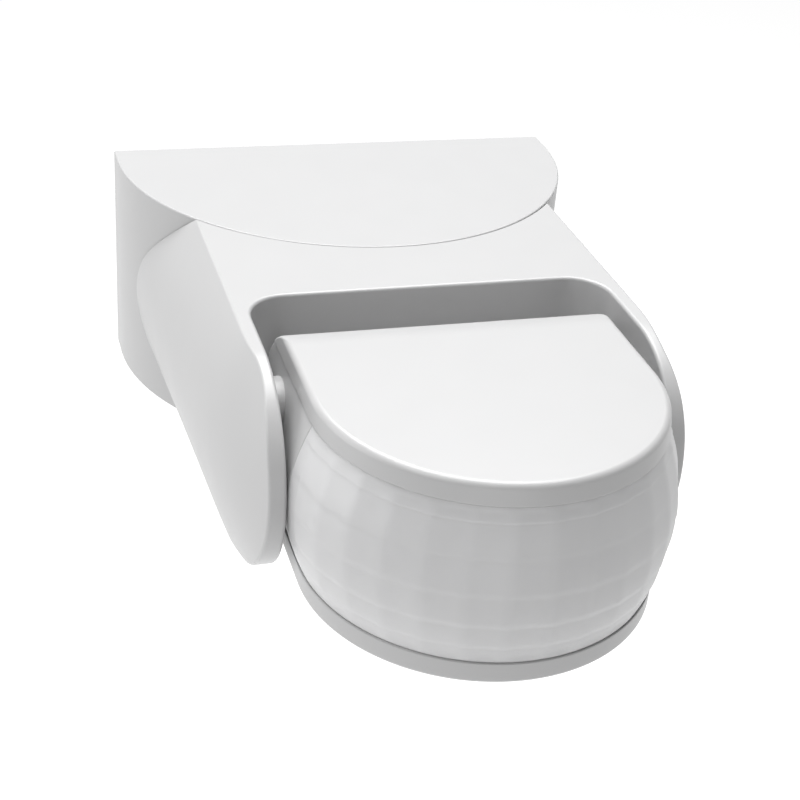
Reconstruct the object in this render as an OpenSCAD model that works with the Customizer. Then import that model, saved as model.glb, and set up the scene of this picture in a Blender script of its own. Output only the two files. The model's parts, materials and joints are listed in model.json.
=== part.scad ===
// Wall-mounted passive infrared motion sensor.
// Origin: centre of the wall face. +Y points into the wall, the head faces -Y, +Z is up.
// The base is fixed, the arm pans on it, the head tilts in the arm, three trimmers turn.

/* [Base] */
// Width of the base along the wall
base_w = 80; // [80:0.5:82]
// Height of the base and of the arm
base_h = 38; // [38:0.5:40]
// Depth of the straight sides behind the round front
base_side = 4.5; // [4.5:0.1:5]
// Wall thickness of the base housing
base_wall = 2; // [1.8:0.1:2.2]
// Thickness of the plate that is screwed to the wall
plate_t = 3; // [2.5:0.1:3]
// Distance between the two wall screws
screw_pitch = 62; // [60:1:63]
// Width of each slotted screw hole
slot_w = 4.5; // [4:0.1:5]
// End-to-end length of each slotted screw hole
slot_len = 8; // [7:0.5:9]

/* [Arm] */
// Half width of the arm along its flat top and bottom edges
arm_hw = 30.6; // [30.4:0.1:30.8]
// How far the arm's sides bulge past those edges at the base
arm_bulge = 7.9; // [7:0.1:7.9]
// Distance from the wall to the back of the notch
notch_y = 58.9; // [58.5:0.1:59]
// Half width of the notch between the prongs
notch_hw = 28.3; // [28.2:0.1:28.4]
// Distance from the wall to the centre of the rounded prong ends
nose_y = 75; // [74.5:0.1:75.5]
// Radius of the rounded prong ends
nose_r = 16.5; // [16:0.1:17]

/* [Head] */
// Half width of the head's bottom plate
head_hw = 26; // [25.9:0.1:26.1]
// Half width of the head's cap
cap_hw = 25.4; // [25.3:0.1:25.5]
// Distance from the wall to the centre of the head's round front
head_y = 90; // [90:0.1:91]
// Height of the head
head_h = 30.1; // [30:0.1:30.5]
// Thickness of the cap
cap_t = 3.2; // [3:0.1:3.4]
// Thickness of the bottom plate
foot_t = 3.4; // [3.2:0.1:3.6]
// Radius of the lens at its fullest
lens_r = 27.4; // [27.2:0.1:27.5]
// Wall thickness of the lens
lens_wall = 1; // [0.8:0.1:1.2]

/* [Joints] */
// Distance from the wall to the tilt axis
pivot_y = 74; // [73.9:0.1:74.1]
// Radius of the tilt journals
journal_r = 2.45; // [2.4:0.01:2.46]
// Gap between the base front and the arm, and round other free edges
gap = 0.3; // [0.3:0.05:0.35]
// Half of the arm's pan travel, in degrees
pan_half = 15; // [10:1:16]

/* [Hidden] */
$fn = 64;
top_z = base_h / 2;
base_r = base_w / 2;
base_in = base_r - base_wall;
cap_z = top_z - cap_t;
head_bottom = top_z - head_h;
foot_z = head_bottom + foot_t;
mid_z = (cap_z + foot_z) / 2;
half_z = (cap_z - foot_z) / 2;
rear_r = 10.4;
pivot_z = top_z - rear_r;
seam_y = head_y + 0.6;
cap_y = head_y - 1.2;
head_rear = pivot_y - rear_r;
lens_rim = 25.3;
lens_lean = atan2(head_y - cap_y, 2 * half_z);
lens_bulge = lens_r - lens_rim;
lens_arc = (half_z * half_z + lens_bulge * lens_bulge) / (2 * lens_bulge);
foot_rear = 74.5;
rear_corner_r = 0.8;
boss_r = 4.7;
boss_x = 27.6;
bush_r = 3.3;
bush_bore = journal_r + 0.05;
nose_z = top_z - nose_r;
slope_y = notch_y - 1.4;
cavity_r = base_r + gap + 2.2;
cavity_y = notch_y - 2.2;
cover_t = 1.8;
stem_half = 17.5;
stem_z = 4.7;
slot_half = stem_half + pan_half + 1.3;
slot_z = 5;
shoe_out = base_in - gap;
shoe_in = shoe_out - 2.1;
pan_screw_angle = 10;
pan_bore = 2.6;
board_y = 16;
board_t = 1.6;
sensor_y = 86;
knob_xs = [-12, 0, 12];
knob_y = 92.5;
knob_r = 3.8;
control_z = foot_z + 4.5;
plate_x = base_in - 2.2;
plate_z = top_z - base_wall - 2.2;
cable_z = 6;
cable_r = 4;
foot_screw = [20.2, 80];
cover_screw = [21, 51];
shell_screw_x = 27;

// ---- Helpers ----

// A plan outline raised from z0 to z1
module rise(z0, z1) {
    translate([0, 0, z0]) linear_extrude(z1 - z0) children();
}

// A side view outline (Y right, Z up) swept across from x0 to x1
module across(x0, x1) {
    translate([x0, 0, 0]) rotate([90, 0, 90]) linear_extrude(x1 - x0) children();
}

// A front view outline (X right, Z up) swept from y0 to y1
module along(y0, y1) {
    translate([0, y1, 0]) rotate([90, 0, 0]) linear_extrude(y1 - y0) children();
}

module block(x0, x1, y0, y1, z0, z1) {
    translate([x0, y0, z0]) cube([x1 - x0, y1 - y0, z1 - z0]);
}

module rod_x(r, x0, x1, y, z) {
    translate([x0, y, z]) rotate([0, 90, 0]) cylinder(r = r, h = x1 - x0);
}

module rod_y(r, y0, y1, x, z) {
    translate([x, y1, z]) rotate([90, 0, 0]) cylinder(r = r, h = y1 - y0);
}

module rod_z(r, z0, z1, x, y) {
    translate([x, y, z0]) cylinder(r = r, h = z1 - z0);
}

// A solid and its mirror image on the other side of the centre plane
module both_sides() {
    children();
    mirror([1, 0, 0]) children();
}

// Children placed so that -Y points radially outwards from the pan axis
module on_pan(angle) {
    translate([0, -base_side, 0]) rotate([0, 0, angle]) children();
}

// Slice of a ring round the pan axis, facing -Y
module ring_slice(r_in, r_out, half_angle, half_height) {
    reach = 2 * r_out;
    translate([0, -base_side, -half_height]) linear_extrude(2 * half_height) intersection() {
        difference() {
            circle(r = r_out);
            circle(r = r_in);
        }
        polygon([[0, 0],
            [-reach * sin(half_angle), -reach * cos(half_angle)],
            [reach * sin(half_angle), -reach * cos(half_angle)]]);
    }
}

// Screw along +Z with its head's top face at z = 0 and a cross recess in it
module screw(head_r, head_h, shank_r, length) {
    difference() {
        union() {
            translate([0, 0, -head_h]) cylinder(r = head_r, h = head_h);
            translate([0, 0, -head_h - length]) cylinder(r = shank_r, h = length);
        }
        for (a = [0, 90]) rotate([0, 0, a])
            translate([-head_r * 0.6, -0.3, -head_h * 0.6]) cube([head_r * 1.2, 0.6, head_h]);
    }
}

function clamp01(t) = max(0, min(1, t));
function ease(t) = (1 - cos(180 * clamp01(t))) / 2;
// Height of a circular arc with rise s over a half chord c, at distance d from its middle
function arc_rise(s, c, d) =
    let (r = (c * c + s * s) / (2 * s)) sqrt(max(0, r * r - d * d)) - (r - s);
function levels(z0, z1, count) = [for (i = [0:count]) z0 + (z1 - z0) * i / count];

// Body with a half width given by half(y, z), y being the distance from the wall
module skin(half, ys, zs) {
    n = len(zs);
    m = 2 * n;
    last = (len(ys) - 1) * m;
    points = [for (y = ys) each concat(
        [for (z = zs) [half(y, z), -y, z]],
        [for (i = [n - 1:-1:0]) [-half(y, zs[i]), -y, zs[i]]])];
    walls = [for (s = [0:len(ys) - 2], k = [0:m - 1])
        let (a = s * m + k, b = s * m + (k + 1) % m)
        each [[a, a + m, b + m], [a, b + m, b]]];
    polyhedron(points, concat(
        [[for (k = [0:m - 1]) k]],
        walls,
        [[for (k = [m - 1:-1:0]) last + k]]));
}

// ---- Outlines ----

module base_plan(r) {
    intersection() {
        translate([0, -base_side]) circle(r = r, $fn = 128);
        translate([-r, -base_side - r]) square([2 * r, r]);
    }
    translate([-r, -base_side]) square([2 * r, base_side]);
}

// Side view of the arm: flat top, round end, underside rising towards the end
module arm_side() {
    reach = [nose_y - slope_y, -top_z - nose_z];
    turn = atan2(reach[1], reach[0]) - acos(nose_r / norm(reach));
    tangent = [-nose_y + nose_r * cos(turn), nose_z + nose_r * sin(turn)];
    translate([-nose_y, nose_z]) circle(r = nose_r, $fn = 128);
    polygon([[-nose_y, top_z], [0, top_z], [0, -top_z], [-slope_y, -top_z], tangent,
        [-nose_y, nose_z]]);
}

function arm_edge(y) = arm_hw - 1.2 * ease((y - 70) / 14);
function arm_middle(y) = arm_hw + arm_bulge - 0.064 * max(0, y - 20)
    - 0.0037 * pow(max(0, y - 63), 2);
arm_half = function (y, z)
    arm_edge(y) + arc_rise(arm_middle(y) - arm_edge(y), top_z, z);

module notch_plan() {
    corner = 6;
    deep = notch_y + corner;
    translate([-notch_hw, -120]) square([2 * notch_hw, 120 - deep]);
    translate([-notch_hw + corner, -deep]) square([2 * (notch_hw - corner), corner]);
    for (side = [-1, 1])
        translate([side * (notch_hw - corner), -deep]) circle(r = corner);
}

// Side view of the head, offset inwards by inset: round rear, sloping towards the foot
module head_side(inset) {
    r = rear_r - inset;
    low = [-foot_rear - inset, head_bottom];
    reach = [low[0] + pivot_y, low[1] - pivot_z];
    turn = atan2(reach[1], reach[0]) + acos(r / norm(reach));
    tangent = [-pivot_y + r * cos(turn), pivot_z + r * sin(turn)];
    translate([-pivot_y, pivot_z]) circle(r = r, $fn = 128);
    polygon([[-pivot_y, top_z - inset], [-pivot_y, pivot_z], tangent, low,
        [-120, head_bottom], [-120, top_z - inset]]);
}

// Plan of the cap or the bottom plate, its round front centred at distance y from the wall
module head_plan(r, y) {
    corner = rear_corner_r;
    rear = head_rear + corner;
    translate([0, -y]) circle(r = r, $fn = 128);
    translate([-r, -y]) square([2 * r, y - rear]);
    translate([-r + corner, -rear]) square([2 * (r - corner), corner]);
    for (side = [-1, 1]) translate([side * (r - corner), -rear]) circle(r = corner);
}

function rear_corner(y) =
    let (r = rear_corner_r, d = y - head_rear) d < r ? r - sqrt(max(0, r * r - pow(r - d, 2))) : 0;
function head_bulge(y) = 0.6 + (lens_bulge - 0.6) * ease((y - 72) / 18);
head_half = function (y, z)
    lens_rim - rear_corner(y) + arc_rise(head_bulge(y), half_z, z - mid_z);

// ---- Base ----

module wall_plate() {
    color("gainsboro") difference() {
        union() {
            block(-plate_x, plate_x, -plate_t, 0, -plate_z, plate_z);
            both_sides() rod_y(3, -board_y, -plate_t + 0.1, 26, 7);
            both_sides() block(shell_screw_x - 4, shell_screw_x + 4, -11, -plate_t + 0.1,
                -plate_z, -9);
        }
        both_sides() translate([screw_pitch / 2, 0, 0]) along(-plate_t - 1, 1) {
            end = (slot_len - slot_w) / 2;
            for (x = [-end, end]) translate([x, 0]) circle(r = slot_w / 2);
            translate([-end, -slot_w / 2]) square([2 * end, slot_w]);
        }
        rod_y(cable_r + 1.5, -plate_t - 1, 1, 0, cable_z);
        both_sides() rod_y(1.2, -board_y - 1, -7, 26, 7);
        both_sides() rod_z(1.3, -plate_z - 1, -10, shell_screw_x, -7);
    }
}

module edge_gasket() {
    color("dimgray") difference() {
        block(-base_in, base_in, -2.6, -0.6, -top_z + base_wall, top_z - base_wall);
        block(-plate_x, plate_x, -3, 0, -plate_z, plate_z);
    }
}

module cable_grommet() {
    color("dimgray") difference() {
        union() {
            rod_y(cable_r + 1.5, -plate_t, 0, 0, cable_z);
            rod_y(cable_r + 3, -plate_t - 1.5, -plate_t, 0, cable_z);
        }
        rod_y(cable_r, -plate_t - 2, 1, 0, cable_z);
    }
}

module base_shell() {
    slot_reach = base_r + 5;
    color("white") difference() {
        rise(-top_z, top_z) base_plan(base_r);
        rise(-top_z + base_wall, top_z - base_wall) union() {
            base_plan(base_in);
            translate([-base_in, -1]) square([2 * base_in, 2]);
        }
        ring_slice(base_in - 4, slot_reach, slot_half, slot_z);
        both_sides() rod_z(1.6, -top_z - 1, -plate_z, shell_screw_x, -7);
        both_sides() rod_z(3.1, -top_z - 1, -top_z + 1.2, shell_screw_x, -7);
    }
}

module shell_screws() {
    color("silver") both_sides() translate([shell_screw_x, -7, -top_z + 0.1])
        mirror([0, 0, 1]) screw(2.8, 1.1, 1.25, 7);
}

module terminal_block() {
    color("lightgray") difference() {
        block(-14, 14, -14, -plate_t, -13.5, -3.5);
        for (x = [-9, 0, 9]) {
            block(x - 2.6, x + 2.6, -12.2, -5.8, -12.6, -6.4);
            block(x - 2, x + 2, -11.5, -7, -14, -12);
            rod_y(2.3, -15, -12, x, -9.5);
        }
    }
}

module terminal_cages() {
    color("goldenrod") for (x = [-9, 0, 9]) difference() {
        block(x - 2.5, x + 2.5, -12.1, -5.9, -12.5, -6.5);
        block(x - 1.8, x + 1.8, -11.2, -6.8, -13, -6);
        rod_y(1.25, -13, -10, x, -9.5);
    }
}

module terminal_screws() {
    color("silver") for (x = [-9, 0, 9])
        translate([x, -13.5, -9.5]) rotate([90, 0, 0]) screw(2.1, 1.3, 1.2, 4);
}

module power_board() {
    color("seagreen") difference() {
        block(-30, 30, -board_y - board_t, -board_y, -1.5, 15.5);
        both_sides() rod_y(1.5, -board_y - 3, -board_y + 1, 26, 7);
    }
}

module board_screws() {
    color("silver") both_sides() translate([26, -board_y - board_t - 1, 7])
        rotate([90, 0, 0]) screw(2.4, 1, 1.15, 6);
}

board_front = -board_y - board_t;

module relay() {
    color("royalblue") difference() {
        block(-20, -2, board_front - 12, board_front, 0, 15);
        block(-19, -3, board_front - 13, board_front - 11.8, 1, 14);
    }
}

module film_capacitor() {
    color("firebrick") block(2, 14, board_front - 10, board_front, 0, 9);
}

module electrolytic_capacitor() {
    color("darkslateblue") difference() {
        rod_y(4.5, board_front - 7, board_front, 19, 10.6);
        rod_y(3.4, board_front - 8, board_front - 6.7, 19, 10.6);
    }
}

module fuse() {
    color("tan") rod_x(2.2, 1, 14, board_front - 2.2, 12.4);
}

module varistor() {
    color("steelblue") rod_y(4, -board_y, -board_y + 3.5, -14, 8);
}

module base_wires() {
    color("black") for (x = [-1.4, 1.4]) {
        rod_y(0.6, -32.5, board_front, x, -0.6);
    }
}

// ---- Arm ----

module yoke_shell() {
    ys = [14, 20, 42, 63, 68, 72, 76, 80, 84, 88, 92];
    color("white") difference() {
        union() {
            difference() {
                intersection() {
                    skin(arm_half, ys, levels(-top_z, top_z, 12));
                    across(-60, 60) arm_side();
                }
                translate([0, -base_side, -50]) cylinder(r = base_r + gap, h = 100, $fn = 128);
                rise(-50, 50) notch_plan();
                yoke_cavity();
            }
            ring_slice(shoe_out, base_r + gap + 1, stem_half, stem_z);
            both_sides() rod_z(2.6, -top_z + cover_t, top_z - 1.5, cover_screw[0], -cover_screw[1]);
        }
        rod_y(3, -cavity_y + 3, -30, 0, 0);
        for (a = [-pan_screw_angle, pan_screw_angle])
            on_pan(a) rod_y(pan_bore / 2, -cavity_r - 2, -shoe_in, 0, 0);
        both_sides() rod_z(1.2, -top_z, 0, cover_screw[0], -cover_screw[1]);
        rod_y(1.5, -pivot_y, -cavity_y + 4, -30.9, pivot_z);
        rod_x(bush_r, -32.3, -notch_hw + 1, -pivot_y, pivot_z);
        rod_x(bush_r, notch_hw - 1, 31.7, -pivot_y, pivot_z);
    }
}

// Hollow of the arm between the base and the notch, open underneath
module yoke_cavity() {
    inner = 22;
    centre = arm_hw + arm_bulge - 26.6;
    difference() {
        intersection() {
            along(-cavity_y, -30) {
                translate([-centre, 0]) circle(r = inner);
                translate([centre, 0]) circle(r = inner);
                translate([-centre, -inner]) square([2 * centre, 2 * inner]);
            }
            block(-60, 60, -cavity_y, -30, -top_z - 1, top_z - 2);
        }
        translate([0, -base_side, -50]) cylinder(r = cavity_r, h = 100, $fn = 128);
    }
    rise(-top_z - 1, -top_z + cover_t) cover_plan(0);
}

module cover_plan(shrink) {
    difference() {
        translate([-25.5 + shrink, -cavity_y + shrink])
            square([51 - 2 * shrink, cavity_y - 30 - shrink]);
        translate([0, -base_side]) circle(r = cavity_r + shrink, $fn = 128);
    }
}

module yoke_cover() {
    color("whitesmoke") difference() {
        rise(-top_z, -top_z + cover_t) cover_plan(0.15);
        both_sides() rod_z(1.5, -top_z - 1, top_z, cover_screw[0], -cover_screw[1]);
        both_sides() rod_z(2.6, -top_z - 1, -top_z + 1, cover_screw[0], -cover_screw[1]);
    }
}

module yoke_screws() {
    color("silver") both_sides()
        translate([cover_screw[0], -cover_screw[1], -top_z + 0.05])
        mirror([0, 0, 1]) screw(2.4, 0.95, 1.15, 7);
}

module pan_shoe() {
    color("lightgray") difference() {
        ring_slice(shoe_in, shoe_out, 27, 9);
        rod_y(3, -50, -30, 0, 0);
        for (a = [-pan_screw_angle, pan_screw_angle]) on_pan(a) {
            rod_y(1.4, -50, -30, 0, 0);
            rod_y(2.4, -shoe_in - 0.4, -30, 0, 0);
        }
    }
}

module pan_screws() {
    head_top = shoe_in - 1.3;
    color("silver") for (a = [-pan_screw_angle, pan_screw_angle])
        on_pan(a) translate([0, -head_top, 0]) rotate([-90, 0, 0]) screw(2.3, 1.6, 1.2, 6.5);
}

module yoke_wires() {
    r = 1.1;
    bend_y = -cavity_y + 1.4;
    color("black") {
        rod_y(r, bend_y, -34.5, 0, 0);
        translate([0, bend_y, 0]) sphere(r = r);
        rod_x(r, -24, 0, bend_y, 0);
        translate([-24, bend_y, 0]) sphere(r = r);
        rod_z(r, 0, pivot_z, -24, bend_y);
        translate([-24, bend_y, pivot_z]) sphere(r = r);
        rod_x(r, -30.9, -24, bend_y, pivot_z);
        translate([-30.9, bend_y, pivot_z]) sphere(r = r);
        rod_y(r, -pivot_y, bend_y, -30.9, pivot_z);
        translate([-30.9, -pivot_y, pivot_z]) sphere(r = r);
        rod_x(r, -30.9, -19, -pivot_y, pivot_z);
    }
}

module pivot_bush_left() {
    color("khaki") difference() {
        rod_x(bush_r, -29.7, -notch_hw, -pivot_y, pivot_z);
        rod_x(bush_bore, -33, -20, -pivot_y, pivot_z);
    }
}

module pivot_bush_right() {
    color("khaki") difference() {
        rod_x(bush_r, notch_hw, 31.6, -pivot_y, pivot_z);
        rod_x(bush_bore, 20, 33, -pivot_y, pivot_z);
    }
}

// ---- Head ----

module head_cap() {
    color("white") {
        intersection() {
            rise(cap_z, top_z) head_plan(cap_hw, cap_y);
            across(-40, 40) head_side(0);
        }
        both_sides() block(21.6, 22.8, -88, -72, cap_z - 1.6, cap_z + 0.1);
    }
}

module head_housing() {
    inner = 23.1;
    ys = [head_rear, head_rear + 0.1, head_rear + 0.3, head_rear + rear_corner_r,
        66, 69, 72, 75, 78, 81, 84, 87, seam_y];
    color("white") difference() {
        union() {
            difference() {
                intersection() {
                    skin(head_half, ys, levels(foot_z, cap_z, 10));
                    across(-40, 40) head_side(0);
                }
                intersection() {
                    across(-inner, inner) head_side(1.8);
                    block(-40, 40, -120, -50, foot_z - 1, cap_z + 1);
                }
            }
            both_sides() rod_x(boss_r, 24, boss_x, -pivot_y, pivot_z);
            both_sides() rod_z(3, foot_z, 3, foot_screw[0], -foot_screw[1]);
        }
        rod_x(bush_bore, -40, 40, -pivot_y, pivot_z);
        both_sides() rod_z(1.2, foot_z - 1, 1, foot_screw[0], -foot_screw[1]);
    }
}

module head_foot() {
    color("white") difference() {
        intersection() {
            rise(head_bottom, foot_z) head_plan(head_hw, head_y);
            across(-40, 40) head_side(0);
        }
        for (x = knob_xs) rod_z(knob_r + gap, head_bottom - 1, foot_z + 1, x, -knob_y);
        both_sides() rod_z(1.5, head_bottom - 1, foot_z + 1, foot_screw[0], -foot_screw[1]);
        both_sides() rod_z(2.7, head_bottom - 1, head_bottom + 1.2, foot_screw[0],
            -foot_screw[1]);
    }
}

// Radial section of the lens wall: a barrel arc of constant thickness about its middle
module lens_section() {
    centre = lens_r - lens_arc;
    intersection() {
        difference() {
            translate([centre, 0]) circle(r = lens_arc, $fn = 256);
            translate([centre, 0]) circle(r = lens_arc - lens_wall, $fn = 256);
        }
        translate([10, -half_z - 3]) square([30, 2 * half_z + 6]);
    }
}

module lens() {
    color("ghostwhite") intersection() {
        translate([0, -(head_y + cap_y) / 2, mid_z]) rotate([-lens_lean, 0, 0])
            rotate_extrude($fn = 128) lens_section();
        block(-40, 40, -130, -seam_y - 0.1, foot_z + 0.05, cap_z - 0.05);
    }
}

module lens_seal() {
    color("dimgray") intersection() {
        for (p = [[head_y, foot_z], [cap_y, cap_z - 1.4]]) translate([0, -p[0], p[1]])
            difference() {
                cylinder(r = lens_rim - lens_wall - 0.5, h = 1.4);
                translate([0, 0, -1]) cylinder(r = lens_rim - lens_wall - 1.9, h = 4);
            }
        block(-40, 40, -130, -seam_y - 0.1, -30, 30);
    }
}

module foot_screws() {
    color("silver") both_sides()
        translate([foot_screw[0], -foot_screw[1], head_bottom + 0.1])
        mirror([0, 0, 1]) screw(2.5, 1.1, 1.15, 8);
}

module pivot_tube() {
    color("silver") difference() {
        union() {
            rod_x(journal_r, -29.6, -22.1, -pivot_y, pivot_z);
            rod_x(3.6, -23.1, -22.1, -pivot_y, pivot_z);
        }
        rod_x(1.4, -30, -20, -pivot_y, pivot_z);
    }
}

module pivot_pin() {
    color("silver") {
        rod_x(journal_r, 22.1, 31.4, -pivot_y, pivot_z);
        rod_x(3.6, 22.1, 23.1, -pivot_y, pivot_z);
    }
}

module friction_washers() {
    color("darkgray") both_sides() difference() {
        rod_x(boss_r - 0.3, boss_x, boss_x + 0.6, -pivot_y, pivot_z);
        rod_x(bush_bore, 20, 40, -pivot_y, pivot_z);
    }
}

module sensor_board() {
    color("seagreen") block(-21, 21, -sensor_y, -sensor_y + board_t, control_z + 1.4, 14);
}

module pir_sensor() {
    color("silver") difference() {
        union() {
            rod_y(4.6, -sensor_y - 0.6, -sensor_y, 0, mid_z + 1);
            rod_y(4.1, -sensor_y - 4, -sensor_y, 0, mid_z + 1);
        }
        block(-2.5, 2.5, -sensor_y - 5, -sensor_y - 3.4, mid_z - 1, mid_z + 3);
    }
}

module pir_window() {
    color("darkslategray")
        block(-2.5, 2.5, -sensor_y - 3.9, -sensor_y - 3.4, mid_z - 1, mid_z + 3);
}

module light_sensor() {
    color("orange") {
        rod_y(2.2, -sensor_y - 1.6, -sensor_y, 12, 9);
        translate([12, -sensor_y - 1.6, 9]) sphere(r = 1.6);
    }
}

module status_led() {
    color("red") {
        rod_y(1.5, -sensor_y - 2.5, -sensor_y, -12, 9);
        translate([-12, -sensor_y - 2.5, 9]) sphere(r = 1.5);
    }
}

module signal_chip() {
    color("black") difference() {
        block(-2, 7, -sensor_y + board_t, -sensor_y + board_t + 1.4, 3, 9);
        rod_y(0.5, -sensor_y + board_t + 1.1, -sensor_y + board_t + 2, -0.5, 7.5);
    }
}

module board_capacitors() {
    color("darkslateblue") for (x = [11, 16])
        rod_y(2, -sensor_y + board_t, -sensor_y + board_t + 4, x, 6);
}

module control_board() {
    color("seagreen") block(-19, 19, -knob_y - 5, -sensor_y - 1, control_z, control_z + 1.2);
}

module trimmers() {
    color("royalblue") for (x = knob_xs) difference() {
        block(x - 3.5, x + 3.5, -knob_y - 3.5, -knob_y + 3.5, foot_z, control_z);
        rod_z(1.25, foot_z - 1, foot_z + 3, x, -knob_y);
    }
}

module board_header() {
    color("black") {
        block(-8, 8, -sensor_y - 2.5, -sensor_y, control_z + 1.4, control_z + 2.6);
        block(-7, 7, -sensor_y - 2.2, -sensor_y - 1.2, control_z + 1.2, control_z + 1.5);
    }
}

module head_wires() {
    color("black") {
        rod_x(1.1, -18.6, -13, -pivot_y, pivot_z);
        translate([-13, -pivot_y, pivot_z]) sphere(r = 1.1);
        rod_y(1.1, -sensor_y + board_t, -pivot_y, -13, pivot_z);
    }
}

// Slotted trimmer knob in the underside of the head, its slot pointing forward
module knob(x) {
    bottom = head_bottom + 0.3;
    difference() {
        union() {
            rod_z(knob_r, bottom, foot_z - 0.5, x, -knob_y);
            rod_z(1.2, foot_z - 1, foot_z + 2.5, x, -knob_y);
        }
        block(x - 0.5, x + 0.5, -knob_y - 2.9, -knob_y + 2.9, bottom - 1, bottom + 1.1);
        translate([x, -knob_y - 2.2, bottom - 1]) cylinder(r = 0.8, h = 1.6);
    }
}

module time_knob() { color("lightgray") knob(knob_xs[0]); }

module lux_knob() { color("lightgray") knob(knob_xs[1]); }

module range_knob() { color("lightgray") knob(knob_xs[2]); }

wall_plate();
edge_gasket();
cable_grommet();
base_shell();
shell_screws();
terminal_block();
terminal_cages();
terminal_screws();
power_board();
board_screws();
relay();
film_capacitor();
electrolytic_capacitor();
fuse();
varistor();
base_wires();
yoke_shell();
yoke_cover();
yoke_screws();
pan_shoe();
pan_screws();
yoke_wires();
pivot_bush_left();
pivot_bush_right();
head_cap();
head_housing();
head_foot();
lens();
lens_seal();
foot_screws();
pivot_tube();
pivot_pin();
friction_washers();
sensor_board();
pir_sensor();
pir_window();
light_sensor();
status_led();
signal_chip();
board_capacitors();
control_board();
trimmers();
board_header();
head_wires();
time_knob();
lux_knob();
range_knob();
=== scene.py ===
import json
import math

import bpy
import bmesh
from mathutils import Matrix, Vector


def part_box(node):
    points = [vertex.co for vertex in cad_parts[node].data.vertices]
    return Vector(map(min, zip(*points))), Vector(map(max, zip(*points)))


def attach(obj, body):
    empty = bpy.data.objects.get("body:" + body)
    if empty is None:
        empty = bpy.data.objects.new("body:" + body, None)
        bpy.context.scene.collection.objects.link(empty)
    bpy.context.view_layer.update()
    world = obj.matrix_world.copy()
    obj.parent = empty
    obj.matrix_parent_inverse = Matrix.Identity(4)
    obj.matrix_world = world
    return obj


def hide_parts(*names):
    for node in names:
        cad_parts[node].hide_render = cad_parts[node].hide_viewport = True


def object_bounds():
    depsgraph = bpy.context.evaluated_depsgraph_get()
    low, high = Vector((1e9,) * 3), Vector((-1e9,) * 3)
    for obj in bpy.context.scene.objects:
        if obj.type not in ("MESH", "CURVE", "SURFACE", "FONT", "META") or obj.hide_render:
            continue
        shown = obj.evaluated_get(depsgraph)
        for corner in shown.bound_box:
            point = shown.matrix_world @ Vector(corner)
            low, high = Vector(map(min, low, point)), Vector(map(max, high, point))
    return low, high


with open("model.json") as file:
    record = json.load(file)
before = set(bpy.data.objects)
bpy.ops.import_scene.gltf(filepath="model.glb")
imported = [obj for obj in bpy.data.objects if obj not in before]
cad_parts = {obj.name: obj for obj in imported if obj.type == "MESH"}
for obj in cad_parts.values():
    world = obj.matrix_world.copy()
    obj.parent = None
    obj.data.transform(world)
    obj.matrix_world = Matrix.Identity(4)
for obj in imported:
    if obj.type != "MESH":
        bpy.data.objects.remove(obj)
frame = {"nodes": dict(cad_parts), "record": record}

cad_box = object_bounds()

# Shapes are worked out in millimetres. A profile point is (d, z), with d the distance from
# the wall, and a space point is (x, d, z), which becomes (x, -d, z) in the frame.
MM = 0.001


def mm(value):
    return value / MM


base_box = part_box("base_shell")
arm_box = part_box("yoke_shell")
cap_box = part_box("head_cap")
foot_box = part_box("head_foot")

# Base: a box with a round front, open to the wall
TOP = mm(base_box[1][2])
BASE_R = mm(base_box[1][0])
BASE_SIDE = -mm(base_box[0][1]) - BASE_R
BASE_WALL = 2.0
BASE_EDGE = 0.3
# Arm: concave back, domed sides, two prongs with round noses and the notch between them
NOSE_Y = 75.0
NOSE_R = -mm(arm_box[0][1]) - NOSE_Y
NOSE_Z = TOP - NOSE_R
ARM_HW = 30.6
ARM_BULGE = 7.9
NOTCH_HW = 28.3
NOTCH_Y = 58.9
NOTCH_CORNER = 6.0
SLOPE_Y = 57.5
GAP = 0.3
ARM_BACK_R = BASE_R + GAP
ARM_WALL = 2.2
ARM_ROOF = 2.4
STEM_HALF = 17.5
STEM_Z = 4.7
SLOT_HALF = 33.8
SLOT_Z = 5.0
# Head: the tilt axis, the cap, the housing and the foot
PIVOT_Y = 74.0
REAR_R = 10.4
PIVOT_Z = TOP - REAR_R
CAP_HW = mm(cap_box[1][0])
FOOT_HW = mm(foot_box[1][0])
HEAD_Y = 90.0
CAP_THICKNESS = 3.2
CAP_Z = mm(cap_box[1][2]) - CAP_THICKNESS
FOOT_BOTTOM = mm(foot_box[0][2])
FOOT_Z = mm(foot_box[1][2])
MID_Z = (CAP_Z + FOOT_Z) / 2
HALF_Z = (CAP_Z - FOOT_Z) / 2
SEAM_Y = HEAD_Y + 0.6
CAP_Y = HEAD_Y - 1.2
HEAD_CORNER = 0.8
CAP_DRAFT = 0.4
CAP_LOW_EDGE = 0.2
CAP_TOP_EDGE = 0.9
FOOT_LOW_EDGE = 0.6
FOOT_TOP_EDGE = 0.3
HOUSING_WALL = 1.8
SEAM_EDGE = 0.12
# Lens: radius at its rims and at its fullest, and the bulge that the housing shares
LENS_RIM = 25.3
LENS_R = 27.15
LENS_BULGE = LENS_R - LENS_RIM
LENS_WIDER = 0.45
LENS_WALL = 1.0
REAR_BULGE = 0.6
BULGE_FROM = 72.0
BULGE_OVER = 18.0
# Screws as (x, distance from the wall), knobs and the bosses on the tilt axis
FOOT_REAR = 74.5
FOOT_SCREW = (20.2, 80.0)
COVER_SCREW = (21.0, 51.0)
COVER_HALF = 25.5
COVER_POST_R = 2.6
COVER_SEAT = 1.85
SHELL_SCREW = (27.0, 7.0)
SHELL_BORE = 1.6
SHELL_HEAD_BORE = 3.1
FOOT_BORE = 1.5
FOOT_HEAD_BORE = 2.7
SCREW_SINK = 1.2
KNOB_XS = (-12.0, 0.0, 12.0)
KNOB_Y = 92.5
KNOB_R = 3.8
BOSS_R = 4.7
BOSS_X = 27.6
BOSS_ROOT = 23.6
BOSS_EDGE = 0.3
PIVOT_BORE = 2.5


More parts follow.
